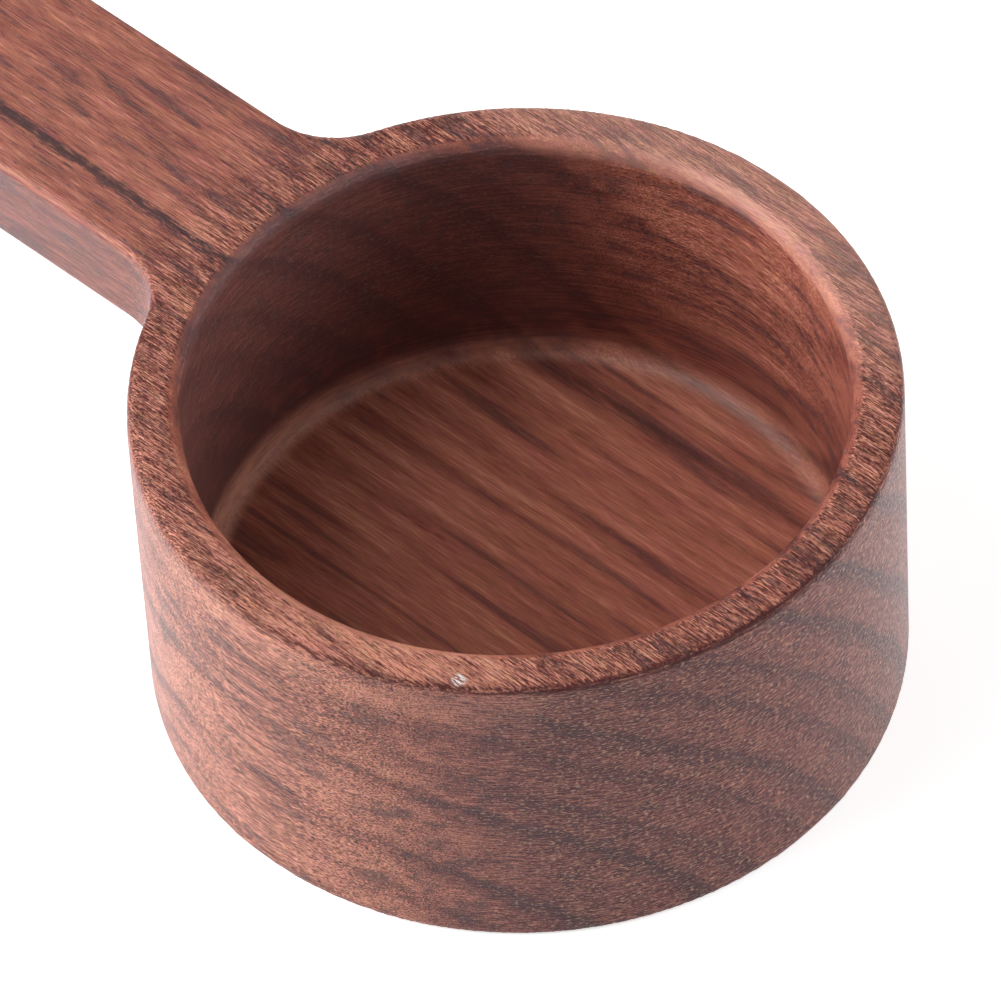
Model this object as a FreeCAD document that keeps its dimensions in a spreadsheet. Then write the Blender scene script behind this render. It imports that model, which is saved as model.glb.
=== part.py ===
import FreeCAD, Part
import Sketcher
import math
import os

# A wooden measuring spoon: a straight-walled cup and a flat handle, cut from one block.
# The cup stands on the plane z = 0 with its axis on +Z, and the handle runs along -X.
# The handle's top is flush with the rim, and its two sides flare into the cup's wall.

# Driving dimensions, in millimetres
SIZES = {
    # Cup
    "cup_outer_diameter": 50.4,
    "cup_height": 25.0,
    "wall_thickness": 3.5,
    "floor_thickness": 4.8,
    # Handle
    "handle_reach": 96.0,          # from the cup's axis to the tip of the handle
    "handle_width": 15.0,
    "handle_thickness": 7.1,
    "root_flare_radius": 5.8,      # where the handle's sides sweep out into the cup's wall
    # Hanging hole
    "hang_hole_diameter": 6.0,
    "hang_hole_inset": 7.5,        # from the tip of the handle to the hole's axis
    # Sanded edges and the cutter's corner
    "top_edge_round": 0.4,
    "rim_inner_bevel": 0.6,
    "under_edge_round": 0.5,
    "foot_round": 0.6,
    "hang_hole_bevel": 0.5,
    "floor_cove_radius": 1.5,
}

doc = FreeCAD.newDocument("measuring_spoon")
sheet = doc.addObject("Spreadsheet::Sheet", "sizes")
for row, (name, value) in enumerate(SIZES.items(), start=1):
    sheet.set(f"A{row}", name)
    sheet.set(f"B{row}", str(value))
    sheet.setAlias(f"B{row}", name)
doc.recompute()

# Radii and heights that several features share: as expressions on the sheet, and as numbers
CUP_RADIUS = "sizes.cup_outer_diameter / 2"
BOWL_RADIUS = "sizes.cup_outer_diameter / 2 - sizes.wall_thickness"
HANDLE_HALF_WIDTH = "sizes.handle_width / 2"
UNDERSIDE_HEIGHT = "sizes.cup_height - sizes.handle_thickness"
cup_radius = sheet.cup_outer_diameter / 2
bowl_radius = cup_radius - sheet.wall_thickness
half_width = sheet.handle_width / 2
underside_height = sheet.cup_height - sheet.handle_thickness

# How a sketch names a curve's ends and centre, its origin point and its two axes
START, END, CENTRE = range(1, 4)
ORIGIN = (-1, 1)
X_AXIS = -1
Y_AXIS = -2
SAME_PLACE = 1e-4

spoon = doc.addObject("PartDesign::Body", "measuring_spoon")
spoon.Label = "measuring_spoon"


def new_sketch(name, plane_role):
    """An empty sketch on one of the body's own origin planes."""
    plane = next(item for item in spoon.Origin.OriginFeatures if item.Role == plane_role)
    sketch = spoon.newObject("Sketcher::SketchObject", name)
    sketch.AttachmentSupport = (plane, [""])
    sketch.MapMode = "FlatFace"
    return sketch


def relate(sketch, *constraint):
    """A geometric relation between curves of a sketch."""
    sketch.addConstraint(Sketcher.Constraint(*constraint))


def dimension(sketch, expression, *constraint):
    """A dimension of a sketch that follows the sheet."""
    index = sketch.addConstraint(Sketcher.Constraint(*constraint))
    sketch.setExpression(f"Constraints[{index}]", expression)


def flat(x, y):
    """A point in a sketch's plane."""
    return FreeCAD.Vector(x, y, 0)


def circle(centre, radius):
    """A circle in a sketch's plane."""
    return Part.Circle(centre, FreeCAD.Vector(0, 0, 1), radius)


def arc(centre, radius, first, last):
    """An arc in a sketch's plane, counter-clockwise between two angles in degrees."""
    return Part.ArcOfCircle(circle(centre, radius), math.radians(first), math.radians(last))


def edges_at_height(feature, height, keep=lambda edge: True):
    """Names of a feature's edges that lie in one horizontal plane."""
    names = []
    for number, edge in enumerate(feature.Shape.Edges, start=1):
        box = edge.BoundBox
        level = max(abs(box.ZMin - height), abs(box.ZMax - height))
        if level < SAME_PLACE and keep(edge):
            names.append(f"Edge{number}")
    return names


def round_edges(name, base, edges, size):
    """Round some edges of the body to a radius on the sheet."""
    feature = spoon.newObject("PartDesign::Fillet", name)
    feature.Base = (base, edges)
    feature.setExpression("Radius", f"sizes.{size}")
    doc.recompute()
    return feature


def bevel_edges(name, base, edges, size):
    """Bevel some edges of the body to a leg on the sheet, the same on both faces."""
    feature = spoon.newObject("PartDesign::Chamfer", name)
    feature.Base = (base, edges)
    feature.setExpression("Size", f"sizes.{size}")
    doc.recompute()
    return feature


def is_circle(radius):
    """A test for edges that lie on a circle of this radius."""
    def test(edge):
        return isinstance(edge.Curve, Part.Circle) and abs(edge.Curve.Radius - radius) < SAME_PLACE
    return test


# Handle: straight parallel sides, a half-round tip, and a root that flares out to touch the cup's circle.
# The outline closes on the cup's axis, deep inside the cup, where the bowl is cut away later.
plan = new_sketch("handle_plan", "XY_Plane")
plan.setExpression(".AttachmentOffset.Base.z", UNDERSIDE_HEIGHT)
flare = sheet.root_flare_radius
flare_y = half_width + flare
flare_x = -math.sqrt((cup_radius + flare) ** 2 - flare_y ** 2)
touch = cup_radius / (cup_radius + flare)
touch_angle = math.degrees(math.atan2(flare_y, -flare_x))
tip_x = half_width - sheet.handle_reach
tip, left_side, left_flare, left_close, right_close, right_flare, right_side, cup_circle = plan.addGeometry([
    arc(flat(tip_x, 0), half_width, 90, 270),
    Part.LineSegment(flat(tip_x, half_width), flat(flare_x, half_width)),
    arc(flat(flare_x, flare_y), flare, 270, 360 - touch_angle),
    Part.LineSegment(flat(flare_x * touch, flare_y * touch), flat(0, 0)),
    Part.LineSegment(flat(0, 0), flat(flare_x * touch, -flare_y * touch)),
    arc(flat(flare_x, -flare_y), flare, touch_angle, 90),
    Part.LineSegment(flat(flare_x, -half_width), flat(tip_x, -half_width)),
    circle(flat(0, 0), cup_radius),
])
plan.setConstruction(cup_circle, True)
relate(plan, "Coincident", cup_circle, CENTRE, *ORIGIN)
relate(plan, "Coincident", left_close, END, *ORIGIN)
relate(plan, "Coincident", right_close, START, *ORIGIN)
relate(plan, "Tangent", tip, START, left_side, START)
relate(plan, "Tangent", left_side, END, left_flare, START)
relate(plan, "Coincident", left_flare, END, left_close, START)
relate(plan, "Tangent", left_flare, END, cup_circle)
relate(plan, "Coincident", right_close, END, right_flare, START)
relate(plan, "Tangent", right_flare, START, cup_circle)
relate(plan, "Tangent", right_flare, END, right_side, START)
relate(plan, "Tangent", right_side, END, tip, END)
relate(plan, "Equal", left_flare, right_flare)
relate(plan, "Horizontal", left_side)
relate(plan, "Horizontal", right_side)
relate(plan, "PointOnObject", tip, CENTRE, X_AXIS)
dimension(plan, CUP_RADIUS, "Radius", cup_circle, cup_radius)
dimension(plan, "sizes.root_flare_radius", "Radius", left_flare, flare)
dimension(plan, HANDLE_HALF_WIDTH, "Radius", tip, half_width)
dimension(plan, f"sizes.handle_reach - {HANDLE_HALF_WIDTH}", "DistanceX", tip, CENTRE, *ORIGIN, -tip_x)
handle = spoon.newObject("PartDesign::Pad", "handle")
handle.Profile = plan
handle.setExpression("Length", "sizes.handle_thickness")
doc.recompute()

# The handle's lower edges are sanded round before they run into the cup's wall
lower_outline = edges_at_height(handle, underside_height, lambda edge: edge.BoundBox.XMax < -SAME_PLACE)
under_edges = round_edges("under_edges", handle, lower_outline, "under_edge_round")

# Cup: a plain cylinder, solid at first
cup_plan = new_sketch("cup_plan", "XY_Plane")
cup_outline = cup_plan.addGeometry(circle(flat(0, 0), cup_radius))
relate(cup_plan, "Coincident", cup_outline, CENTRE, *ORIGIN)
dimension(cup_plan, CUP_RADIUS, "Radius", cup_outline, cup_radius)
cup = spoon.newObject("PartDesign::Pad", "cup")
cup.Profile = cup_plan
cup.setExpression("Length", "sizes.cup_height")
doc.recompute()

# One sanded edge runs round the rim, through both flares and round the handle
top_outline = edges_at_height(cup, sheet.cup_height)
top_edges = round_edges("top_edges", cup, top_outline, "top_edge_round")

# Bowl: bored straight down to a flat floor, with the corner radius of the cutter and a bevelled rim
bowl_profile = new_sketch("bowl_profile", "XZ_Plane")
cove = sheet.floor_cove_radius
floor_line, cove_arc, wall_line, mouth_line, axis_line = bowl_profile.addGeometry([
    Part.LineSegment(flat(0, sheet.floor_thickness), flat(bowl_radius - cove, sheet.floor_thickness)),
    arc(flat(bowl_radius - cove, sheet.floor_thickness + cove), cove, 270, 360),
    Part.LineSegment(flat(bowl_radius, sheet.floor_thickness + cove), flat(bowl_radius, sheet.cup_height)),
    Part.LineSegment(flat(bowl_radius, sheet.cup_height), flat(0, sheet.cup_height)),
    Part.LineSegment(flat(0, sheet.cup_height), flat(0, sheet.floor_thickness)),
])
relate(bowl_profile, "Tangent", floor_line, END, cove_arc, START)
relate(bowl_profile, "Tangent", cove_arc, END, wall_line, START)
relate(bowl_profile, "Coincident", wall_line, END, mouth_line, START)
relate(bowl_profile, "Coincident", mouth_line, END, axis_line, START)
relate(bowl_profile, "Coincident", axis_line, END, floor_line, START)
relate(bowl_profile, "Horizontal", floor_line)
relate(bowl_profile, "Vertical", wall_line)
relate(bowl_profile, "Horizontal", mouth_line)
relate(bowl_profile, "PointOnObject", axis_line, START, Y_AXIS)
relate(bowl_profile, "PointOnObject", axis_line, END, Y_AXIS)
dimension(bowl_profile, "sizes.floor_cove_radius", "Radius", cove_arc, cove)
dimension(bowl_profile, BOWL_RADIUS, "DistanceX", *ORIGIN, wall_line, END, bowl_radius)
dimension(bowl_profile, "sizes.floor_thickness", "DistanceY", *ORIGIN, floor_line, START, sheet.floor_thickness)
dimension(bowl_profile, "sizes.cup_height", "DistanceY", *ORIGIN, mouth_line, END, sheet.cup_height)
bowl = spoon.newObject("PartDesign::Groove", "bowl")
bowl.Profile = bowl_profile
bowl.ReferenceAxis = (bowl_profile, ["V_Axis"])
bowl.Angle = 360
doc.recompute()
rim_edge = edges_at_height(bowl, sheet.cup_height, is_circle(bowl_radius))
rim_inner = bevel_edges("rim_inner", bowl, rim_edge, "rim_inner_bevel")

# Foot: the lower edge of the cup is eased
foot_edge = edges_at_height(rim_inner, 0)
foot = round_edges("foot", rim_inner, foot_edge, "foot_round")

# Hanging hole near the tip, drilled through and bevelled on both faces
hole_plan = new_sketch("hang_hole_plan", "XY_Plane")
hole_x = sheet.hang_hole_inset - sheet.handle_reach
hole_outline = hole_plan.addGeometry(circle(flat(hole_x, 0), sheet.hang_hole_diameter / 2))
relate(hole_plan, "PointOnObject", hole_outline, CENTRE, X_AXIS)
dimension(hole_plan, "sizes.hang_hole_diameter", "Diameter", hole_outline, sheet.hang_hole_diameter)
dimension(hole_plan, "sizes.handle_reach - sizes.hang_hole_inset",
          "DistanceX", hole_outline, CENTRE, *ORIGIN, -hole_x)
hole = spoon.newObject("PartDesign::Pocket", "hang_hole")
hole.Profile = hole_plan
hole.Type = "ThroughAll"
hole.Reversed = True
doc.recompute()
hole_edges = []
for height in (underside_height, sheet.cup_height):
    hole_edges += edges_at_height(hole, height, is_circle(sheet.hang_hole_diameter / 2))
hole_bevels = bevel_edges("hang_hole_edges", hole, hole_edges, "hang_hole_bevel")
spoon.Tip = hole_bevels
doc.recompute()

# A cut that points the wrong way removes nothing
bowl_volume = math.pi * bowl_radius ** 2 * (sheet.cup_height - sheet.floor_thickness)
hole_volume = math.pi * (sheet.hang_hole_diameter / 2) ** 2 * sheet.handle_thickness
for cut, before, expected in ((bowl, top_edges, bowl_volume), (hole, foot, hole_volume)):
    removed = before.Shape.Volume - cut.Shape.Volume
    print(f"{cut.Label}: removed {removed:.0f} of about {expected:.0f} cubic millimetres")
    if removed < expected / 2:
        raise RuntimeError(f"{cut.Label} didn't cut into the spoon")

failed = [item.Label for item in doc.Objects if "Invalid" in item.State or "Error" in item.State]
if failed:
    raise RuntimeError("failed features: " + ", ".join(failed))
shape = spoon.Shape
if shape.isNull() or not shape.isValid() or len(shape.Solids) != 1:
    raise RuntimeError("the spoon isn't one valid solid")
print(f"{spoon.Label}: {shape.Volume:.0f} cubic millimetres, box {shape.BoundBox}")
print(f"bowl to the brim: {bowl_volume / 1000:.1f} millilitres")

os.makedirs("parts", exist_ok=True)
shape.exportStep(f"parts/{spoon.Label}.step")
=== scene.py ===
# %% [markdown]
# # A wooden measuring spoon
# The real spoon is one block of walnut-like wood: a round cup, a flat handle and nothing else. Its shape
# comes from the CAD model, which is loaded first. So the work here goes into the hand-sanded edges, the
# camera, the light and, above all, the wood.

# %% Load the part
import math
import bpy
from mathutils import Matrix, Vector


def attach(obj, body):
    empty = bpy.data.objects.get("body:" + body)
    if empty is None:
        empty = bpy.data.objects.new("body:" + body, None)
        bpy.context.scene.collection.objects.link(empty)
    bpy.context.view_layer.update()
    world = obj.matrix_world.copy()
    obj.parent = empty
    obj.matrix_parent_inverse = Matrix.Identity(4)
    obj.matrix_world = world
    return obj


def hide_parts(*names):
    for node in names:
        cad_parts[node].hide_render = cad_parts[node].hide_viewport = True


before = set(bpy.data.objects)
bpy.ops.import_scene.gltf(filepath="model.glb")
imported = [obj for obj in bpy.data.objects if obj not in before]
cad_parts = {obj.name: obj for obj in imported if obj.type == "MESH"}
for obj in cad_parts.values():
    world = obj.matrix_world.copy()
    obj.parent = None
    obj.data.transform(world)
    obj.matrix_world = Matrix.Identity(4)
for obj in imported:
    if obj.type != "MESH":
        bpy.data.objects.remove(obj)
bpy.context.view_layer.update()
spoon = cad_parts["measuring_spoon"]

# %% [markdown]
# ## Hand-sanded edges
# The CAD model has one and the same rounding along all of its top edge. A hand with sandpaper isn't so
# even: on the real spoon the rim is rolled over on the left, crisp in front and on the right, and its
# inner edge is softest opposite the handle. A bevel with a changing width could do this, but it leaves
# facets where its width changes. A smoothing modifier does what sandpaper does. It only needs small even
# faces to work on, so a copy of the model is merged and then remeshed into cells of a fraction of a
# millimetre.

# %% Copy the model into small even cells
CELL = 0.0003
MERGE_DISTANCE = 1e-6
bpy.ops.object.select_all(action="DESELECT")
bpy.context.view_layer.objects.active = spoon
spoon.select_set(True)
bpy.ops.object.duplicate()
sanded = bpy.context.object
sanded.name = "sanded_spoon"
bpy.ops.object.mode_set(mode="EDIT")
bpy.ops.mesh.select_all(action="SELECT")
bpy.ops.mesh.remove_doubles(threshold=MERGE_DISTANCE)
bpy.ops.mesh.normals_make_consistent(inside=False)
bpy.ops.object.mode_set(mode="OBJECT")
cells = sanded.modifiers.new("cells", "REMESH")
cells.mode = "VOXEL"
cells.voxel_size = CELL
cells.use_smooth_shade = True
bpy.ops.object.modifier_apply(modifier="cells")
print("cells:", len(sanded.data.vertices), "vertices")

# %% [markdown]
# Two vertex groups say how hard the paper pressed: one for the outer edge of the rim, one for the inner
# edge. Each has a middle, given as an angle around the cup, and fades out to both sides of it. A little
# pressure stays everywhere, because no edge of the real spoon is left sharp. Distances are in millimetres
# here.

# %% Say how hard the paper presses
MILLIMETRES_IN_METRE = 1000
OUTER_MIDDLE = math.radians(225)
OUTER_REACH = 1.4
OUTER_LEAST = 0.12
OUTER_BAND = (23.0, 24.2)
CLEAR_OF_HANDLE = (-22.0, -16.0)
INNER_MIDDLE = math.radians(35)
INNER_REACH = 1.5
INNER_LEAST = 0.05
INNER_BAND = (23.4, 22.6)
FULL_PRESSURE_SHARE = 0.25
PAPER_FOOT = 22.0
BOWL_WALL = 21.0


def rise(value, low, high):
    """From 0 at low to 1 at high, and level outside."""
    return min(1.0, max(0.0, (value - low) / (high - low)))


def pressed(angle, middle, reach, least):
    """How hard the paper presses at an angle: fully near the middle, least beyond its reach."""
    away = abs((angle - middle + math.pi) % (2 * math.pi) - math.pi)
    return least + (1 - least) * rise(away, reach, FULL_PRESSURE_SHARE * reach)


outer_edge = sanded.vertex_groups.new(name="outer_edge")
inner_edge = sanded.vertex_groups.new(name="inner_edge")
for vertex in sanded.data.vertices:
    x, y, z = vertex.co * MILLIMETRES_IN_METRE
    if z < PAPER_FOOT:
        continue
    out = math.hypot(x, y)
    angle = math.atan2(y, x)
    near_outer = rise(out, *OUTER_BAND) * rise(x, *CLEAR_OF_HANDLE)
    near_inner = rise(out, *INNER_BAND) if out > BOWL_WALL else 0.0
    outer_weight = near_outer * pressed(angle, OUTER_MIDDLE, OUTER_REACH, OUTER_LEAST)
    inner_weight = near_inner * pressed(angle, INNER_MIDDLE, INNER_REACH, INNER_LEAST)
    outer_edge.add([vertex.index], outer_weight, "REPLACE")
    inner_edge.add([vertex.index], inner_weight, "REPLACE")
print("groups:", [group.name for group in sanded.vertex_groups])

# %% Sand, and thin the cells again
STROKES = 24
STROKE_FACTOR = 0.5
KEPT_FACES = 0.5
SHARPEST_SMOOTH_EDGE = math.radians(40)
for group in (outer_edge, inner_edge):
    paper = sanded.modifiers.new("paper", "SMOOTH")
    paper.vertex_group = group.name
    paper.factor = STROKE_FACTOR
    paper.iterations = STROKES
    bpy.ops.object.modifier_apply(modifier="paper")
fewer = sanded.modifiers.new("fewer", "DECIMATE")
fewer.ratio = KEPT_FACES
bpy.ops.object.modifier_apply(modifier="fewer")
bpy.ops.object.shade_smooth_by_angle(angle=SHARPEST_SMOOTH_EDGE)
sanded.data.calc_loop_triangles()
print("sanded spoon:", len(sanded.data.loop_triangles), "triangles")

# %% The sanded copy stands for the CAD node
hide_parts("measuring_spoon")
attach(sanded, "root")
print(sanded.name, "replaces", spoon.name)

# %% [markdown]
# ## Camera
# The photograph looks down into the cup from the front, with the handle leading away to the upper left. A
# long lens far away keeps the rim's two sides almost parallel, as they are in the photograph. The camera
# is placed by a direction and a distance from a point in the middle of the cup, and then rolled a few
# degrees about its own line of sight, because the photograph hangs slightly to one side.

# %% Place the camera
AIM = Vector((-0.00202, 0.0001, 0.0125))
CAMERA_DISTANCE = 0.6798
CAMERA_AZIMUTH = math.radians(45.22)
CAMERA_ELEVATION = math.radians(49.27)
CAMERA_ROLL = math.radians(-3.56)
LENS = 372.6
SENSOR_WIDTH = 36.0
NEAREST_SEEN = 0.01
FARTHEST_SEEN = 20.0

camera_data = bpy.data.cameras.new("camera")
camera_data.lens = LENS
camera_data.sensor_width = SENSOR_WIDTH
camera_data.clip_start = NEAREST_SEEN
camera_data.clip_end = FARTHEST_SEEN
camera = bpy.data.objects.new("camera", camera_data)
bpy.context.scene.collection.objects.link(camera)
turned = (Matrix.Rotation(CAMERA_AZIMUTH, 4, "Z")
          @ Matrix.Rotation(math.pi / 2 - CAMERA_ELEVATION, 4, "X")
          @ Matrix.Rotation(CAMERA_ROLL, 4, "Z"))
line_of_sight = turned @ Vector((0, 0, -1))
camera.matrix_world = Matrix.Translation(AIM - line_of_sight * CAMERA_DISTANCE) @ turned
bpy.context.scene.camera = camera
print("camera at", [round(v, 3) for v in camera.location], "with a lens of", LENS, "mm")

# %% [markdown]
# ## Floor and surroundings
# The background of the photograph is plain white. In a studio a sweep gives that: a sheet of paper that
# runs along the table and up behind the object. A large floor and an upright backdrop do the same here,
# and the floor throws light back up under the cup. Paper that is lit as plainly as the spoon would look
# pale grey, so what the camera sees of it is lifted to white with the Light Path node, and the soft
# shadow by the cup stays. This adds no light to the spoon itself.

# %% White paper
PAPER_COLOUR = (0.86, 0.86, 0.86, 1)
PAPER_ROUGHNESS = 0.9
PAPER_GLOSS = 0.1
PAPER_LIFT = 0.68
WHITE = (1, 1, 1, 1)


def white_paper(name):
    """Matt paper that the camera sees as white. Returns the material and the two parts of its glow."""
    paper = bpy.data.materials.new(name)
    paper.use_nodes = True
    face = paper.node_tree.nodes["Principled BSDF"]
    face.inputs["Base Color"].default_value = PAPER_COLOUR
    face.inputs["Roughness"].default_value = PAPER_ROUGHNESS
    face.inputs["Specular IOR Level"].default_value = PAPER_GLOSS
    face.inputs["Emission Color"].default_value = WHITE
    rays = paper.node_tree.nodes.new("ShaderNodeLightPath")
    lift = paper.node_tree.nodes.new("ShaderNodeMath")
    lift.operation = "MULTIPLY"
    lift.inputs[1].default_value = PAPER_LIFT
    paper.node_tree.links.new(rays.outputs["Is Camera Ray"], lift.inputs[0])
    paper.node_tree.links.new(lift.outputs[0], face.inputs["Emission Strength"])
    return paper, rays, lift


floor_paper, floor_rays, floor_lift = white_paper("white_sweep")
backdrop_paper = white_paper("white_backdrop")[0]
print("papers:", floor_paper.name, backdrop_paper.name)

# %% [markdown]
# Oiled wood mirrors a little of the floor, most of all at the cup's two sides, where one looks along the
# surface. In the photograph those sides have a pale veil and the front has almost none, as from a sweep
# that is bright behind and beside the cup and dim in front of it. So the glow that glossy rays meet on
# the floor grows from front to back. Each end of it is a place in metres and a strength.

# %% The floor's mirror image
AWAY = (-math.sin(CAMERA_AZIMUTH), math.cos(CAMERA_AZIMUTH), 0.0)
DIM_FRONT = (-0.035, 0.1)
BRIGHT_BACK = (0.0, 1.0)

floor_nodes = floor_paper.node_tree.nodes
floor_links = floor_paper.node_tree.links
spot = floor_nodes.new("ShaderNodeTexCoord")
distance_back = floor_nodes.new("ShaderNodeVectorMath")
distance_back.operation = "DOT_PRODUCT"
distance_back.inputs[1].default_value = AWAY
floor_links.new(spot.outputs["Object"], distance_back.inputs[0])
glow = floor_nodes.new("ShaderNodeMapRange")
glow.inputs["From Min"].default_value, glow.inputs["To Min"].default_value = DIM_FRONT
glow.inputs["From Max"].default_value, glow.inputs["To Max"].default_value = BRIGHT_BACK
floor_links.new(distance_back.outputs["Value"], glow.inputs["Value"])
mirrored = floor_nodes.new("ShaderNodeMath")
mirrored.operation = "MULTIPLY_ADD"
floor_links.new(glow.outputs["Result"], mirrored.inputs[0])
floor_links.new(floor_rays.outputs["Is Glossy Ray"], mirrored.inputs[1])
floor_links.new(floor_lift.outputs[0], mirrored.inputs[2])
floor_links.new(mirrored.outputs[0], floor_nodes["Principled BSDF"].inputs["Emission Strength"])
print("glow from", DIM_FRONT[1], "in front to", BRIGHT_BACK[1], "behind")

# %% Floor, backdrop and a white room
FLOOR_SIZE = 6.0
BACKDROP_DISTANCE = 2.0
upright_behind = (Matrix.Rotation(CAMERA_AZIMUTH, 4, "Z")
                  @ Matrix.Translation((0, BACKDROP_DISTANCE, FLOOR_SIZE / 2))
                  @ Matrix.Rotation(math.pi / 2, 4, "X"))


def sheet(name, paper, placing):
    """A large square of paper, laid at the origin and then put in its place."""
    bpy.ops.object.select_all(action="DESELECT")
    bpy.ops.mesh.primitive_plane_add(size=FLOOR_SIZE, location=(0, 0, 0))
    square = bpy.context.object
    square.name = name
    square.data.transform(placing)
    square.data.materials.append(paper)


sheet("white_floor", floor_paper, Matrix.Identity(4))
sheet("white_backdrop", backdrop_paper, upright_behind)
bpy.context.scene.view_settings.view_transform = "Standard"
world = bpy.data.worlds.new("white_room")
world.use_nodes = True
bpy.context.scene.world = world
room = world.node_tree.nodes["Background"]
room.inputs["Color"].default_value = WHITE
room_rays = world.node_tree.nodes.new("ShaderNodeLightPath")
world.node_tree.links.new(room_rays.outputs["Is Camera Ray"], room.inputs["Strength"])
print("floor and backdrop", FLOOR_SIZE, "m across, in", world.name)

# %% [markdown]
# ## Light
# The cup's left wall and the handle's near side are the brightest parts of the photograph, the front of
# the cup is dim, its right side is light again, and the inside is darkest next to the handle. So the main
# light is a large soft box low on the left, a second one stands low on the far right, and weaker ones
# hang above and behind. Their strengths give a level surface about as much light as makes a colour look
# as it is written. The low boxes don't show in the wood's gloss, as behind a polarising filter: from the
# side, they would bleach the handle's top. Each lamp is a name, a direction, a height in degrees and a
# strength in watts.

# %% Soft boxes
LAMP_DISTANCE = 0.8
LAMP_SIZE = 0.6
LOW_LAMP = 20
LAMPS = (
    ("left_soft_box", -52, 12, 9.0),
    ("upper_left_soft_box", -35, 32, 2.2),
    ("high_left_soft_box", -40, 55, 2.8),
    ("back_left_soft_box", -120, 12, 1.1),
    ("right_soft_box", 135, 12, 5.6),
    ("high_right_soft_box", 115, 55, 0.8),
)


def soft_box(name, azimuth, elevation, watts):
    """A square area light that faces the cup, placed by its direction in degrees."""
    lamp = bpy.data.lights.new(name, "AREA")
    lamp.shape = "SQUARE"
    lamp.size = LAMP_SIZE
    lamp.energy = watts
    holder = bpy.data.objects.new(name, lamp)
    holder.visible_glossy = elevation > LOW_LAMP
    bpy.context.scene.collection.objects.link(holder)
    facing = (Matrix.Rotation(math.radians(azimuth), 4, "Z")
              @ Matrix.Rotation(math.radians(90 - elevation), 4, "X"))
    holder.matrix_world = Matrix.Translation(facing @ Vector((0, 0, LAMP_DISTANCE)) + AIM) @ facing


for name, azimuth, elevation, watts in LAMPS:
    soft_box(name, azimuth, elevation, watts)

# %% [markdown]
# ## Wood
# The grain runs along the handle everywhere, also across the cup's floor, because the spoon is cut from
# one block. A flat picture of wood, wrapped around the cup, would show seams and the same grain on every
# face. So the wood is made as a solid pattern in space, and each surface shows its own cut through it:
# long streaks on the top and the floor, curved bands on the end of the cup. First come a few helpers that
# add nodes to the material.

# %% Start the wood
walnut = bpy.data.materials.new("oiled_walnut")
walnut.use_nodes = True
tree = walnut.node_tree
shader = tree.nodes["Principled BSDF"]


def feed(socket, value):
    """Join an output to an input, or set the input to a plain number, triple or colour."""
    if isinstance(value, bpy.types.NodeSocket):
        tree.links.new(value, socket)
    elif value is not None:
        socket.default_value = value


def calc(operation, first, second=None, third=None, clamp=False):
    """One step of arithmetic on numbers."""
    step = tree.nodes.new("ShaderNodeMath")
    step.operation = operation
    step.use_clamp = clamp
    for socket, value in zip(step.inputs, (first, second, third)):
        feed(socket, value)
    return step.outputs[0]


def times(first, *others):
    """Multiply any number of values."""
    for other in others:
        first = calc("MULTIPLY", first, other)
    return first


def mix_numbers(amount, first, second):
    """Go from the first number to the second."""
    mix = tree.nodes.new("ShaderNodeMix")
    mix.data_type = "FLOAT"
    feed(mix.inputs["Factor"], amount)
    feed(mix.inputs["A"], first)
    feed(mix.inputs["B"], second)
    return mix.outputs["Result"]


def between(value, low, high, start=0.0, end=1.0, smooth=True):
    """Stretch what lies between low and high to a new range, and keep it level outside."""
    stretch = tree.nodes.new("ShaderNodeMapRange")
    stretch.interpolation_type = "SMOOTHSTEP" if smooth else "LINEAR"
    for socket, number in zip(stretch.inputs, (value, low, high, start, end)):
        feed(socket, number)
    return stretch.outputs[0]


print("wood started:", walnut.name)

# %% Places and noise
NUMBER, COLOUR = 0, 1


def vector_calc(operation, first, second):
    """One step of arithmetic on points."""
    step = tree.nodes.new("ShaderNodeVectorMath")
    step.operation = operation
    feed(step.inputs[0], first)
    feed(step.inputs[1], second)
    return step.outputs["Value"] if operation == "DISTANCE" else step.outputs["Vector"]


def split(vector):
    """The three numbers of a point."""
    parts = tree.nodes.new("ShaderNodeSeparateXYZ")
    feed(parts.inputs[0], vector)
    return parts.outputs


coordinates = tree.nodes.new("ShaderNodeTexCoord")
millimetres = vector_calc("MULTIPLY", coordinates.outputs["Object"], (MILLIMETRES_IN_METRE,) * 3)
along, across, up = split(millimetres)


def grain_cells(length, width):
    """The place in the wood, counted in cells this long along the grain and this wide across it."""
    return vector_calc("MULTIPLY", millimetres, (1 / length, 1 / width, 1 / width))


def mottle(cells, detail=2.0, roughness=0.5, kind=NUMBER):
    """Soft random patches about one cell large, as one number or as the three of a colour."""
    patches = tree.nodes.new("ShaderNodeTexNoise")
    patches.inputs["Scale"].default_value = 1.0
    patches.inputs["Detail"].default_value = detail
    patches.inputs["Roughness"].default_value = roughness
    feed(patches.inputs["Vector"], cells)
    return patches.outputs[kind]


print("nodes so far:", len(tree.nodes))

# %% [markdown]
# ### Growth rings
# Growth rings are circles about the tree's middle, its pith: an axis parallel to the handle, below the
# spoon and outside the block. Two slow noises bend the rings a little, so that no streak is ruled with a
# straight edge. The Wave texture could draw rings, but all alike. Here the dark late wood of each ring
# has its own distance from the pith and its own depth. They are read from the streaks on the handle, the
# floor and the end of the cup, which all agree, and the rings beyond the visible wood carry on at the
# same spacing.

# %% Bend the rings
PITH = (0.0, -45.0, -23.0)
SLOW_BEND = 0.9
SLOW_CELL = (70, 18)
QUICK_BEND = 0.30
QUICK_CELL = (7, 1.2)
NOISE_MIDDLE = (0.5, 0.5, 0.5)


def bend(cells, reach):
    """A random shift across the grain, of up to about this many millimetres."""
    centred = vector_calc("SUBTRACT", mottle(cells, detail=1.0, kind=COLOUR), NOISE_MIDDLE)
    return vector_calc("MULTIPLY", centred, (0, reach * 2, reach * 2))


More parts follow.
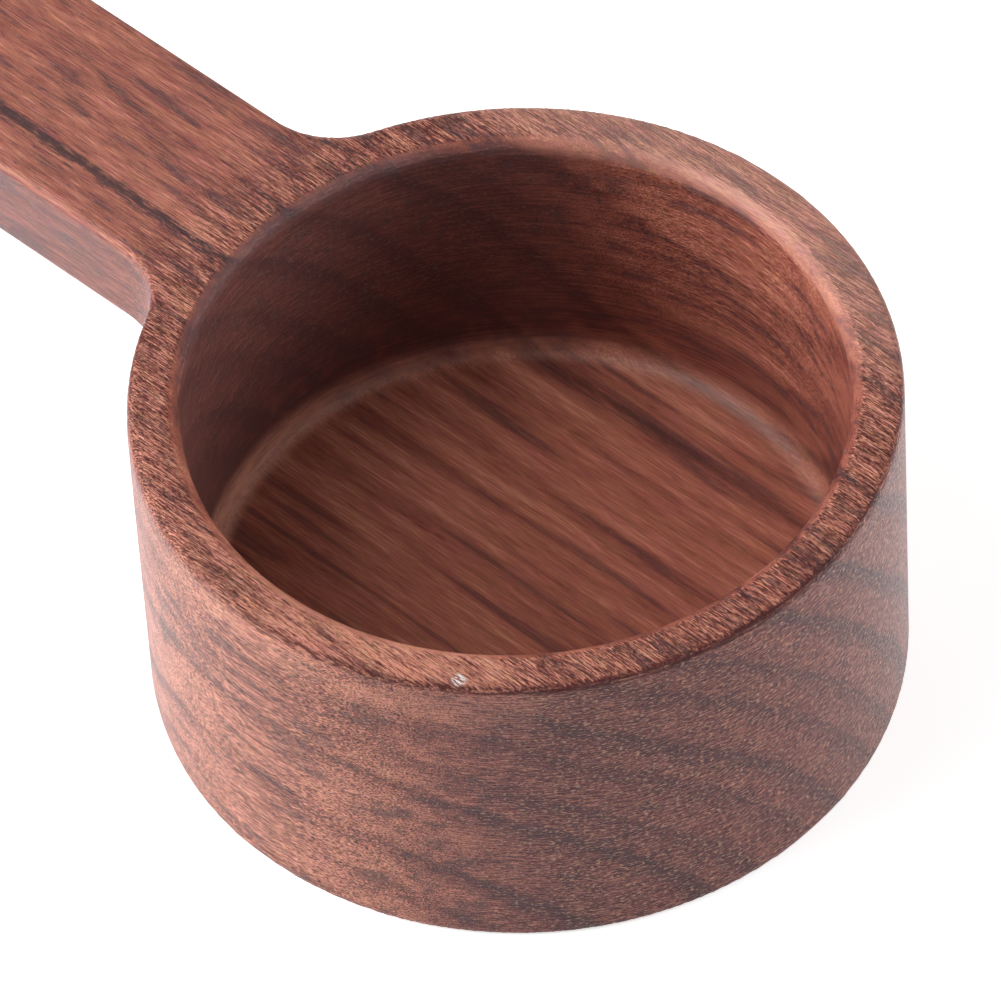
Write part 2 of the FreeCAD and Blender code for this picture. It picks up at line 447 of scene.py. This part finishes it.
bent = vector_calc("ADD", millimetres, bend(grain_cells(*SLOW_CELL), SLOW_BEND))
bent = vector_calc("ADD", bent, bend(grain_cells(*QUICK_CELL), QUICK_BEND))
ring_radius = vector_calc("DISTANCE", vector_calc("MULTIPLY", bent, (0, 1, 1)), PITH)
print("rings about", PITH, "in millimetres")

# %% [markdown]
# Each ring is three numbers: its distance from the pith in millimetres, how dark it is in the cup, and
# how dark in the handle, where two of the streaks fade. A ring darkens slowly from the inside and ends
# sharply, as wood does in autumn. A colour ramp holds at most 32 stops, so the rings are shared out over
# two ramps.

# %% Growth rings
RING_START, RING_END = 29.0, 87.0
INNER_RINGS = (
    (31.2, 0.45, 0.45), (34.4, 0.50, 0.50), (37.6, 0.95, 0.80), (43.4, 0.90, 0.80),
    (46.1, 0.55, 0.55), (50.0, 0.45, 0.45), (52.9, 0.75, 0.60), (56.8, 0.55, 0.50),
)
OUTER_RINGS = (
    (59.7, 0.65, 0.50), (63.6, 0.90, 1.00), (67.2, 1.00, 0.45), (71.7, 0.95, 0.60),
    (74.0, 0.40, 0.40), (77.2, 0.90, 0.60), (81.4, 0.60, 0.60), (84.3, 0.50, 0.50),
)
IN_CUP, IN_HANDLE = 1, 2
EARLY_SIDE = 1.5
LATE_SIDE = 0.55
CUP_TO_HANDLE = (-18, -32)

ring_place = between(ring_radius, RING_START, RING_END, smooth=False)


def ring_ramp(rings, column):
    """How dark the wood is, by its distance from the pith."""
    ramp = tree.nodes.new("ShaderNodeValToRGB")
    ramp.color_ramp.interpolation = "LINEAR"
    for element in ramp.color_ramp.elements:
        element.color = (0, 0, 0, 1)
    for ring in rings:
        for offset, share in ((-EARLY_SIDE, 0.0), (0.0, 1.0), (LATE_SIDE, 0.0)):
            position = (ring[0] + offset - RING_START) / (RING_END - RING_START)
            stop = ramp.color_ramp.elements.new(position)
            depth = ring[column] * share
            stop.color = (depth, depth, depth, 1)
    feed(ramp.inputs[0], ring_place)
    return ramp.outputs[0]


def all_rings(column):
    """The inner and the outer rings together."""
    return calc("MAXIMUM", ring_ramp(INNER_RINGS, column), ring_ramp(OUTER_RINGS, column))


ring_depth = mix_numbers(between(along, *CUP_TO_HANDLE), all_rings(IN_CUP), all_rings(IN_HANDLE))
print("rings:", len(INNER_RINGS) + len(OUTER_RINGS))

# %% [markdown]
# ### Places on the spoon
# A spoon in use isn't the same all over: the bowl is turned smooth, the handle is polished by hands, the
# far rim is worn smooth and painted pale as a highlight, and the end of the cup, where the fibres are cut
# across, is coarser and darker. A few places are also painted lighter or darker where light falls on them
# more or less: these are painted highlight and painted shade.
# Masks could be painted by hand, but here a place and a surface's direction say it all: each mask is a
# number from 0 to 1, made from distances in millimetres and from the surface's normal. A pair of limits
# says where a mask begins and where it is full.

# %% Faces of the spoon
FIBRES_CUT_ACROSS = (0.28, 0.80)
STANDING_UP = (0.5, 0.2)
INSIDE_BOWL = (22.4, 22.0)
NEAR_CUP = (27.5, 26.0)
FLOOR_HEIGHT = (14.0, 7.0)
POLISHED_HANDLE = (-20, -31)
PAST_CUP = (25.6, 27.5)
facing = split(coordinates.outputs["Normal"])
from_axis = calc("SQRT", calc("ADD", times(along, along), times(across, across)))
end_grain = between(calc("ABSOLUTE", facing["X"]), *FIBRES_CUT_ACROSS)
upright = between(calc("ABSOLUTE", facing["Z"]), *STANDING_UP)
bowl = between(from_axis, *INSIDE_BOWL)
wall = times(upright, between(from_axis, *NEAR_CUP))
inner_wall = times(wall, bowl)
outer_wall = calc("SUBTRACT", wall, inner_wall)
deep = times(bowl, between(up, *FLOOR_HEIGHT))
handled = between(along, *POLISHED_HANDLE)
# Painted shade: the upright sides of the handle are darkened in tone.
painted_shade_handle_sides = times(upright, between(from_axis, *PAST_CUP))
print("faces of the spoon ready")

# %% Worn and rolled places, and places of painted highlight and painted shade
ROLL_SIDE, ROLL_HEIGHT = (-15, -19), (20, 23)
ROLL_HIGHLIGHT_START = (-9.0, -2.0)
WORN_SIDE, WORN_HEIGHT = (13, 22), (23.5, 24.3)
INNER_EDGE_OUT, INNER_EDGE_HEIGHT = (22.6, 22.3), (23.9, 24.3)
FOOT_HEIGHT = (17.0, 7.0)
TOWARDS_HANDLE = (-6.0, -18.0)
FRONT_HEIGHT, FRONT_END = (21.0, 15.0), (18.0, 10.0)
rolled_edge = times(between(across, *ROLL_SIDE), between(up, *ROLL_HEIGHT))
# Painted highlight: the rolled edge is lightened, most of all at its left front.
painted_roll_highlight = times(rolled_edge, between(along, *ROLL_HIGHLIGHT_START))
# The far rim is worn smooth, and its pale tone and colour are a painted highlight.
worn_and_highlit_rim = times(between(across, *WORN_SIDE), between(up, *WORN_HEIGHT))
inner_edge_band = times(between(from_axis, *INNER_EDGE_OUT), between(up, *INNER_EDGE_HEIGHT))
# Painted shade: the foot of the bowl's wall is darkened.
painted_shade_bowl_foot = times(inner_wall, between(up, *FOOT_HEIGHT))
# Painted shade: the bowl's wall next to the handle is darkened.
painted_shade_by_handle = times(inner_wall, between(along, *TOWARDS_HANDLE))
# Painted light: the lower part of the cup's outer wall is lightened.
painted_light_low_wall = times(outer_wall, between(up, *FRONT_HEIGHT), between(along, *FRONT_END))
print("worn, rolled and shaded places ready")

# %% [markdown]
# ### Late wood
# The rings are plain to see on the handle, on the floor and on the outside of the cup. Inside the bowl
# they are fainter where the fibres are cut across, and sanding has partly rubbed them out on the rolled
# edge. The darkest core of a ring is a streak, which is strongest on the handle.

# %% Late wood
FAINT_RINGS = 0.6
STREAK_CORE = (0.40, 0.92)
STREAK_IN_CUP = 0.45
STREAK_STRENGTHENS = (-16, -24)
faint = calc("MAXIMUM", times(inner_wall, end_grain), rolled_edge)
late_wood = times(ring_depth, mix_numbers(faint, 1.0, FAINT_RINGS))
streak_share = between(along, *STREAK_STRENGTHENS, STREAK_IN_CUP, 1.0)
streak = times(between(late_wood, *STREAK_CORE), streak_share)
print("late wood ready")

# %% [markdown]
# ### Fibres, dashes and specks
# Between the rings the wood is full of fine fibres and of pores, thin tubes along the grain. Where the
# surface runs along the grain a pore shows as a dark dash, and one cell of noise, long along the grain
# and narrow across it, gives just that. On the end of the cup such a cell would show as a dot. But there
# the turning tool has drawn the cut fibres out around the cup, so the noise goes over into one that is
# long around the cup. Cells are given in millimetres, length first.

# %% Noise along the fibres and around the cup
AROUND_RADIUS = 25.0
WALL_CELLS_DEEP = 0.2
around = times(calc("ARCTAN2", across, along), AROUND_RADIUS)


def turned_cells(length, width):
    """The place on the cup's walls, counted in cells this long around the cup and this wide up and down."""
    joined = tree.nodes.new("ShaderNodeCombineXYZ")
    feed(joined.inputs["X"], times(around, 1 / length))
    feed(joined.inputs["Y"], times(up, 1 / width))
    feed(joined.inputs["Z"], times(from_axis, WALL_CELLS_DEEP))
    return joined.outputs[0]


def surface_noise(length, width, turned_length, turned_width, detail=1.0):
    """Noise along the fibres, which goes over into noise around the cup where the fibres are cut across."""
    grain = mottle(grain_cells(length, width), detail)
    turned_grain = mottle(turned_cells(turned_length, turned_width), detail)
    return mix_numbers(end_grain, grain, turned_grain)


fibres = surface_noise(1.6, 0.068, 1.3, 0.105)
strands = surface_noise(2.4, 0.15, 2.4, 0.20, detail=2.0)
fine_dashes = surface_noise(0.8, 0.075, 0.40, 0.09)
specks = surface_noise(0.30, 0.08, 0.36, 0.14)
grit = surface_noise(0.34, 0.075, 0.26, 0.11)
turning = mottle(turned_cells(9.0, 0.12), detail=2.0, roughness=0.6)
dashes = mottle(grain_cells(1.3, 0.25), detail=3.0, roughness=0.6)
patches = mottle(grain_cells(22, 2.6), detail=3.0, roughness=0.6)
short_flecks = mottle(grain_cells(6.0, 0.9), detail=2.0)
long_flecks = mottle(grain_cells(16.0, 0.9), detail=2.0)
flecks = mix_numbers(deep, short_flecks, long_flecks)
print("layers of noise ready")

# %% [markdown]
# Turning, polishing and wear close the pores and smooth the fibres. One mask says how coarse the wood is
# still felt to be at each place, and another how open its long pores are. The floor of the bowl is
# smoothest, and the handle and the bowl's wall come next. The outside of the cup and the rolled edge keep
# half of their long pores.

# %% How coarse the wood is
FLOOR_COARSE = 0.2
HANDLE_COARSE = 0.35
INNER_WALL_COARSE, INNER_END_COARSE = 0.45, 0.22
WORN_RIM_COARSE = 0.8
INNER_EDGE_COARSE = 0.3
WALL_RUBBED, RIM_RUBBED, ROLL_RUBBED = 0.5, 0.65, 0.5
FLOOR_PORES = 0.3
inner_wall_coarse = mix_numbers(end_grain, INNER_WALL_COARSE, INNER_END_COARSE)
coarse = mix_numbers(deep, mix_numbers(handled, 1.0, HANDLE_COARSE), FLOOR_COARSE)
coarse = times(coarse, mix_numbers(inner_wall, 1.0, inner_wall_coarse))
coarse = times(coarse, mix_numbers(worn_and_highlit_rim, 1.0, WORN_RIM_COARSE))
coarse = times(coarse, mix_numbers(inner_edge_band, 1.0, INNER_EDGE_COARSE))
rubbed = calc("MAXIMUM", times(outer_wall, WALL_RUBBED), times(worn_and_highlit_rim, RIM_RUBBED))
rubbed = calc("MAXIMUM", rubbed, times(rolled_edge, ROLL_RUBBED))
open_pores = mix_numbers(deep, calc("SUBTRACT", 1.0, rubbed), FLOOR_PORES)
print("coarse and rubbed places ready")

# %% [markdown]
# The marks are noises cut off at a level: only their peaks show, and the level says how many there are.
# Slower noises shift that level, so that the marks come in crowds. The late wood shifts it too, which
# makes its streaks ragged, as they are in real walnut, and the handle has a few more long marks than the
# cup.

# %% Pores and specks
LATE_WOOD_CROWD, STREAK_CROWD, HANDLE_CROWD = 0.05, 0.20, 0.035
LONG_MARK_LEVEL = (0.58, 0.76)
SHORT_MARK_LEVEL = (0.55, 0.65)
SPECK_LEVEL = (0.63, 0.69)
END_GRAIN_SPECKS = 0.05


def weigh(start, *layers):
    """Add up layers, each centred on nothing and given its own weight."""
    total = start
    for layer, weight in layers:
        total = calc("ADD", total, calc("MULTIPLY_ADD", layer, weight, -weight / 2))
    return total


crowding = weigh(dashes, (flecks, -0.35), (patches, -0.25))
for place, crowd in ((late_wood, LATE_WOOD_CROWD), (streak, STREAK_CROWD), (handled, HANDLE_CROWD)):
    crowding = calc("MULTIPLY_ADD", place, crowd, crowding)
long_mark = times(between(crowding, *LONG_MARK_LEVEL), open_pores)
short_crowding = weigh(fine_dashes, (flecks, -0.30))
short_mark = times(between(short_crowding, *SHORT_MARK_LEVEL), coarse)
speck_crowding = calc("MULTIPLY_ADD", end_grain, END_GRAIN_SPECKS, weigh(specks, (flecks, -0.20)))
# The pale specks are partly dust in the pores and partly painted glints on the fibres.
dust_and_glint_speck = times(between(speck_crowding, *SPECK_LEVEL), coarse)
print("pores and specks ready")

# %% [markdown]
# ### Light and dark
# One number, the tone, says how light the wood is at each place. Slow noises give clouds and bands, and
# fine ones give the fibres. Then each place gets a shift of its own: the bowl's floor is pale and the late
# wood is dark. Some shifts are painted light: the foot of the bowl's wall, its wall by the handle and the
# handle's sides are darkened as painted shade, and the low outer wall, the rolled edge and the far rim are
# lightened as painted light and painted highlight. It is all added up before it becomes a colour, so that
# a dark fibre in a dark band is darker than both.

# %% Clouds, fibres and turning marks
END_GRAIN_CLOUDS, FLOOR_CLOUDS = 0.35, 1.25
END_GRAIN_FIBRES = -0.10
cloud_share = mix_numbers(deep, mix_numbers(end_grain, 1.0, END_GRAIN_CLOUDS), FLOOR_CLOUDS)
clouds = times(weigh(0.0, (flecks, 0.55), (patches, 0.60)), cloud_share)
fibre_share = times(coarse, calc("MULTIPLY_ADD", end_grain, END_GRAIN_FIBRES, 1.0))
fibre_tone = times(weigh(0.0, (fibres, 3.4), (strands, 1.2)), fibre_share)
grit_tone = times(weigh(0.0, (grit, 2.2)), coarse, coarse)
turned_tone = times(weigh(0.0, (turning, 0.9)), wall)
tone = calc("ADD", calc("ADD", clouds, fibre_tone), calc("ADD", grit_tone, turned_tone))
print("clouds, fibres and turning marks ready")

# %% Light and dark places
MIDDLE_TONE = 0.51
RING_SHIFT, WALL_RING_SHIFT = -0.18, -0.24
END_GRAIN_OUTSIDE, END_GRAIN_INSIDE_SHADED = -0.06, -0.22
# The worn far rim, the low outer wall and the rolled edge are lightened here as painted highlight and
# painted light; the foot of the bowl's wall, its wall by the handle and the handle's sides are darkened as
# painted shade.
PLACE_SHIFTS = (
    (bowl, 0.06), (deep, 0.11), (handled, 0.07), (worn_and_highlit_rim, 0.25), (painted_light_low_wall, 0.22),
    (rolled_edge, 0.15), (painted_roll_highlight, 0.26),
    (painted_shade_bowl_foot, -0.22), (painted_shade_by_handle, -0.11), (painted_shade_handle_sides, -0.26),
)
ring_shift = calc("MULTIPLY_ADD", calc("MAXIMUM", end_grain, outer_wall), WALL_RING_SHIFT, RING_SHIFT)
# Inside the bowl the end grain is darkened more than outside: the extra is painted shade, on top of the end
# grain's own darker colour.
end_grain_shift = mix_numbers(bowl, END_GRAIN_OUTSIDE, END_GRAIN_INSIDE_SHADED)
tone = calc("MULTIPLY_ADD", late_wood, ring_shift, tone)
tone = calc("MULTIPLY_ADD", end_grain, end_grain_shift, tone)
for place, shift in PLACE_SHIFTS:
    tone = calc("MULTIPLY_ADD", place, shift, tone)
tone = calc("ADD", tone, MIDDLE_TONE, clamp=True)
print("tone shifts:", len(PLACE_SHIFTS))

# %% [markdown]
# ### Colour
# A ramp turns the tone into the wood's own colours, from purple-brown over red-brown to the pale orange
# of the early wood. Real wood isn't that orderly: two spots of one lightness can differ in hue. So the
# colour is at last multiplied by a tint, noise that makes one fibre a little more orange and the next a
# little more purple.

# %% The wood's own colours
COLOURS = (
    (0.00, (0.090, 0.018, 0.017)),
    (0.25, (0.185, 0.044, 0.033)),
    (0.50, (0.325, 0.095, 0.062)),
    (0.75, (0.485, 0.158, 0.100)),
    (1.00, (0.730, 0.295, 0.195)),
)
TINT_RANGE = (0.0, 0.45, 0.45)
TINT_LEAST = (0.985, 0.81, 0.85)
TINT_CELL = (2.4, 0.28)

wood_colours = tree.nodes.new("ShaderNodeValToRGB")
for number, (position, colour) in enumerate(COLOURS):
    elements = wood_colours.color_ramp.elements
    stop = elements[number] if number < 2 else elements.new(position)
    stop.position = position
    stop.color = (*colour, 1)
feed(wood_colours.inputs[0], tone)
tint = mottle(grain_cells(*TINT_CELL), detail=2.0, kind=COLOUR)
tint = vector_calc("ADD", vector_calc("MULTIPLY", tint, TINT_RANGE), TINT_LEAST)
print("colours:", len(COLOURS))

# %% [markdown]
# ### Marks and stains
# On top of the plain wood lie its marks: dark smudges, the purple cast of the end grain, which has soaked
# up more oil, the pores, one dark line across the right of the floor, the black-brown core of the
# streaks, the slate of the late wood on the end of the cup, and pale specks, partly dust in the smallest
# pores and partly painted glints on the fibres. Each is a mask and a colour, laid over the last in this
# order.

# %% Marks and stains
SMUDGE_COLOUR = (0.110, 0.048, 0.052, 1)
OILED_END_COLOUR = (0.215, 0.080, 0.102, 1)
SHORT_PORE_COLOUR = (0.110, 0.030, 0.024, 1)
LONG_PORE_COLOUR = (0.090, 0.036, 0.037, 1)
FLOOR_LINE_COLOUR = (0.050, 0.020, 0.017, 1)
STREAK_COLOUR = (0.030, 0.014, 0.016, 1)
SLATE_COLOUR = (0.080, 0.048, 0.056, 1)
DUST_AND_GLINT_COLOUR = (0.80, 0.43, 0.29, 1)
SMUDGE_LEVEL = (0.45, 0.30)
SMUDGE_MOST = 0.5
SMUDGE_ON_ROLL = 0.3
FLOOR_LINE_SIDE = (13.0, 16.0)
SPECKS_ALONG, SPECKS_ON_END = 0.35, 0.30

smudge = between(weigh(flecks, (patches, 0.5)), *SMUDGE_LEVEL, 0.0, SMUDGE_MOST)
smudge = times(smudge, mix_numbers(rolled_edge, 1.0, SMUDGE_ON_ROLL))
outside = calc("SUBTRACT", 1.0, bowl)
floor_line = times(streak, deep, between(across, *FLOOR_LINE_SIDE))
speck_share = calc("MULTIPLY_ADD", end_grain, SPECKS_ON_END, SPECKS_ALONG)
marks = (
    (smudge, SMUDGE_COLOUR),
    (times(end_grain, outside, 0.38), OILED_END_COLOUR),
    (times(short_mark, 0.55), SHORT_PORE_COLOUR),
    (times(long_mark, 0.80), LONG_PORE_COLOUR),
    (times(floor_line, 0.75), FLOOR_LINE_COLOUR),
    (times(streak, long_mark, 0.65), STREAK_COLOUR),
    (times(late_wood, end_grain, outside, 0.5), SLATE_COLOUR),
    # Pale specks: partly dust, partly painted glints.
    (times(dust_and_glint_speck, speck_share), DUST_AND_GLINT_COLOUR),
)


def lay_over(colour, layers):
    """Lay masked colours one over the other."""
    for amount, layer_colour in layers:
        mix = tree.nodes.new("ShaderNodeMix")
        mix.data_type = "RGBA"
        feed(mix.inputs["Factor"], amount)
        feed(mix.inputs[6], colour)
        feed(mix.inputs[7], layer_colour)
        colour = mix.outputs[2]
    return colour


marked_wood = lay_over(wood_colours.outputs[0], marks)
print("marks:", len(marks))

# %% [markdown]
# ### Dust, painted light and a chip
# Last come the marks that belong to one place only. A tan band lies in the corner of the floor, most of
# it on the left: partly sanding dust, partly a painted highlight on the curved corner. The bevel at the
# root of the handle gets a grey painted reflection, a dark red painted shade runs under the rim in front,
# and one small white chip sits beside it. Noise frays their edges.

# %% Dust and highlight, bevel reflection, shade under the rim and chip
DUST_OUT, DUST_HEIGHT = (20.0, 21.0), (7.0, 5.4)
DUST_SIDE = (-6.0, -26.0)
DUST_LEAST, DUST_MOST = 0.20, 0.85
DUST_GRAIN = (0.30, 0.60, 0.6, 1.1)
BEVEL_END, BEVEL_SIDE = (-8.0, -18.0), (15.0, 9.0)
BEVEL_MOST = 0.35
RIM_SHADE_OUT, RIM_SHADE_HEIGHT = (24.65, 24.95), (24.3, 24.65)
RIM_SHADE_FRONT = (12.0, 30.0)
RIM_SHADE_MOST = 0.95
RIM_SHADE_GRAIN = (0.62, 0.42, 0.25, 1.0)
CHIP = (13.7, -20.2, 24.9)
CHIP_EDGE = (0.62, 0.30)
CHIP_GRAIN = (0.48, 0.54)

# Partly sanding dust, partly a painted highlight on the curved corner of the floor.
dust_and_cove_highlight = times(bowl, between(from_axis, *DUST_OUT), between(up, *DUST_HEIGHT))
dust_and_cove_highlight = times(dust_and_cove_highlight, between(calc("ADD", along, across), *DUST_SIDE, DUST_LEAST, DUST_MOST))
dust_and_cove_highlight = times(dust_and_cove_highlight, between(strands, *DUST_GRAIN))
# Painted reflection: the bevel at the root of the handle is greyed.
bevel_reflection = times(inner_edge_band, between(along, *BEVEL_END, 0.0, BEVEL_MOST))
bevel_reflection = times(bevel_reflection, between(calc("ABSOLUTE", across), *BEVEL_SIDE))
# Painted shade: a dark red line under the rim in front.
rim_shade = times(between(from_axis, *RIM_SHADE_OUT), between(up, *RIM_SHADE_HEIGHT))
rim_shade = times(rim_shade, between(calc("SUBTRACT", along, across), *RIM_SHADE_FRONT, 0.0, RIM_SHADE_MOST))
rim_shade = times(rim_shade, between(strands, *RIM_SHADE_GRAIN))
chip = between(vector_calc("DISTANCE", millimetres, CHIP), *CHIP_EDGE)
chip = times(chip, between(weigh(strands, (grit, 1.0)), *CHIP_GRAIN))
print("dust, bevel, crease and chip ready")

# %% [markdown]
# Three broader layers join them: a grey haze on the bowl's wall next to the handle, which is a painted
# reflection, the dull polish of the handle, and the pale far rim, worn and with a painted highlight. They
# are laid over the marked wood in the same way, and the tint comes last, so that it runs through all of it.

# %% Polish, painted reflection and painted highlight
VEIL_COLOUR = (0.22, 0.16, 0.155, 1)
POLISH_COLOUR = (0.32, 0.20, 0.19, 1)
RIM_HIGHLIGHT_COLOUR = (0.62, 0.38, 0.32, 1)
DUST_AND_HIGHLIGHT_COLOUR = (0.66, 0.31, 0.21, 1)
BEVEL_REFLECTION_COLOUR = (0.22, 0.12, 0.12, 1)
RIM_SHADE_COLOUR = (0.10, 0.018, 0.016, 1)
CHIP_COLOUR = (0.92, 0.82, 0.78, 1)
HAZE_END = (5.0, -8.0)
HAZE_MOST = 0.25

# Painted reflection: a grey veil on the bowl's wall next to the handle.
painted_veil = times(bowl, end_grain, between(along, *HAZE_END, 0.0, HAZE_MOST))
traces = (
    (painted_veil, VEIL_COLOUR),
    (times(handled, 0.10), POLISH_COLOUR),
    # The far rim's pale colour is a painted highlight.
    (times(worn_and_highlit_rim, 0.25), RIM_HIGHLIGHT_COLOUR),
    (dust_and_cove_highlight, DUST_AND_HIGHLIGHT_COLOUR),
    (bevel_reflection, BEVEL_REFLECTION_COLOUR),
    (rim_shade, RIM_SHADE_COLOUR),
    (chip, CHIP_COLOUR),
)
used_wood = lay_over(marked_wood, traces)
feed(shader.inputs["Base Color"], vector_calc("MULTIPLY", used_wood, tint))
print("traces of use:", len(traces))

# %% [markdown]
# ### Finish
# The wood was sanded and oiled, so it has a soft gloss that grows towards the cup's sides, and strands of
# fibre differ a little in it. The pores and fibres are felt as well as seen. Real relief would need
# millions of faces, so a bump of a tenth of a millimetre does it, strongest on the end of the cup, where
# the fibres are cut across.

# %% Finish
OIL_IOR = 1.5
OIL_GLOSS = 0.35
LEAST_ROUGHNESS = 0.24
ROUGHNESS_RANGE = 0.2
RELIEF_DEPTH = 0.0001
PORE_DEPTH = -0.5
END_GRAIN_RELIEF = 0.8
shader.inputs["IOR"].default_value = OIL_IOR
shader.inputs["Specular IOR Level"].default_value = OIL_GLOSS
feed(shader.inputs["Roughness"], calc("MULTIPLY_ADD", strands, ROUGHNESS_RANGE, LEAST_ROUGHNESS))
pores = calc("MAXIMUM", long_mark, short_mark)
height = calc("MULTIPLY_ADD", pores, PORE_DEPTH, calc("ADD", fibres, specks))
height = times(height, coarse, calc("MULTIPLY_ADD", end_grain, END_GRAIN_RELIEF, 1.0))
relief = tree.nodes.new("ShaderNodeBump")
relief.inputs["Strength"].default_value = 1.0
relief.inputs["Distance"].default_value = RELIEF_DEPTH
feed(relief.inputs["Height"], height)
feed(shader.inputs["Normal"], relief.outputs[0])
sanded.data.materials.clear()
sanded.data.materials.append(walnut)
print("finish on", sanded.name, "with", len(tree.nodes), "nodes")
